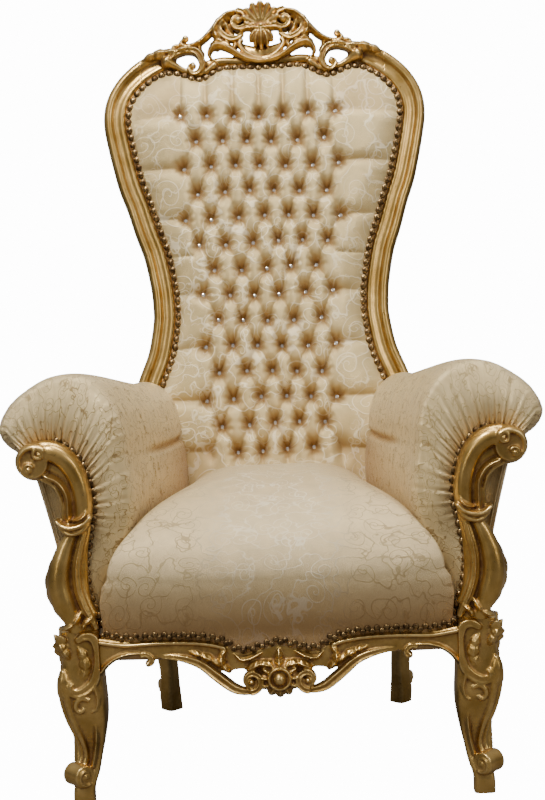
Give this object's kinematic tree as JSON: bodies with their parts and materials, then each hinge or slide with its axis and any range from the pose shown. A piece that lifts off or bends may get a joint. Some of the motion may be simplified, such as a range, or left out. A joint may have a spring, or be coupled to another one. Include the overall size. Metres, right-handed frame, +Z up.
{
  "type": "throne",
  "caption": "High-backed carved and gilded throne with a pierced crest, deep-buttoned back, rolled arms with volute fronts and cabriole legs.",
  "frame": {"origin": "on the floor, under the middle of the throne's bounding box", "axes": "+Z up, -Y the way the sitter faces, +X to the right as seen from the front"},
  "size_m": [1.0382, 0.8441, 1.6027],
  "materials": {
    "gilt_wood": "antique gold leaf over red-brown bole, worn in the recesses",
    "damask": "champagne satin damask with a scrolling vine",
    "plain_wood": "unfinished beech",
    "brass_nails": "antique brass, domed",
    "crystal": "cut crystal buttons"
  },
  "bodies": {
    "root": {"crest_rail": "gilt_wood", "back_stile_left": "gilt_wood", "back_stile_right": "gilt_wood", "back_rail_lower": "plain_wood", "front_rail": "gilt_wood", "side_rail_left": "gilt_wood", "side_rail_right": "gilt_wood", "rear_rail": "gilt_wood", "front_leg_left": "gilt_wood", "front_leg_right": "gilt_wood", "rear_leg_left": "gilt_wood", "rear_leg_right": "gilt_wood", "arm_front_left": "gilt_wood", "arm_front_right": "gilt_wood", "seat_cushion": "damask", "back_pad": "damask", "arm_pad_left": "damask", "arm_pad_right": "damask", "back_cover": "damask", "outside_arm_left": "damask", "outside_arm_right": "damask"}
  },
  "joints": []
}
